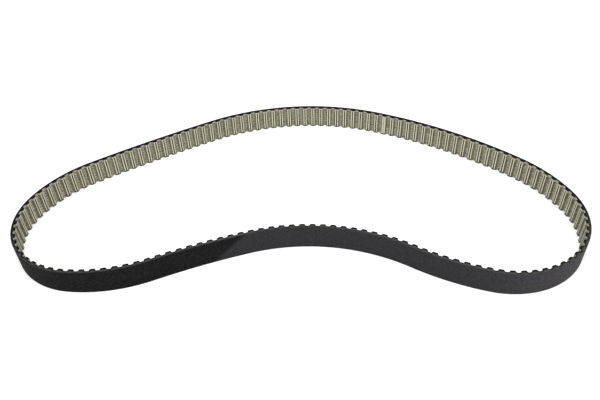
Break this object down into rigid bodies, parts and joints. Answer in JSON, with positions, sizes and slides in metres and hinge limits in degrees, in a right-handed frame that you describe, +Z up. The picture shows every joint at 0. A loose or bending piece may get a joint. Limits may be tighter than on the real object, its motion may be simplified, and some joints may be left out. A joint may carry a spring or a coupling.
{
  "type": "timing belt",
  "caption": "Endless toothed belt lying on its edge in a loose kidney-shaped loop, smooth back outside and trapezoidal teeth inside",
  "frame": {"origin": "centre of the belt's outline on the flat surface that it stands on, at its lower cut edge", "axes": "+Z up across the belt's width, +X along the loop's longest extent, to the right seen from the concave side, +Y from the concave side to the bowed side"},
  "size_m": [0.5409, 0.2746, 0.0254],
  "materials": {
    "backing_rubber": "smooth ground matt black rubber",
    "tooth_rubber": "moulded black rubber, seen only at the cut edges",
    "cord_s": "glass fibre cord with a resorcinol latex dip, S twist",
    "cord_z": "glass fibre cord with a resorcinol latex dip, Z twist",
    "facing": "woven nylon, grey green, slightly worn pale at the tooth corners"
  },
  "bodies": {
    "root": {"backing": "backing_rubber", "teeth": "tooth_rubber", "tension_cord_s": "cord_s", "tension_cord_z": "cord_z", "facing_fabric": "facing"}
  },
  "joints": []
}
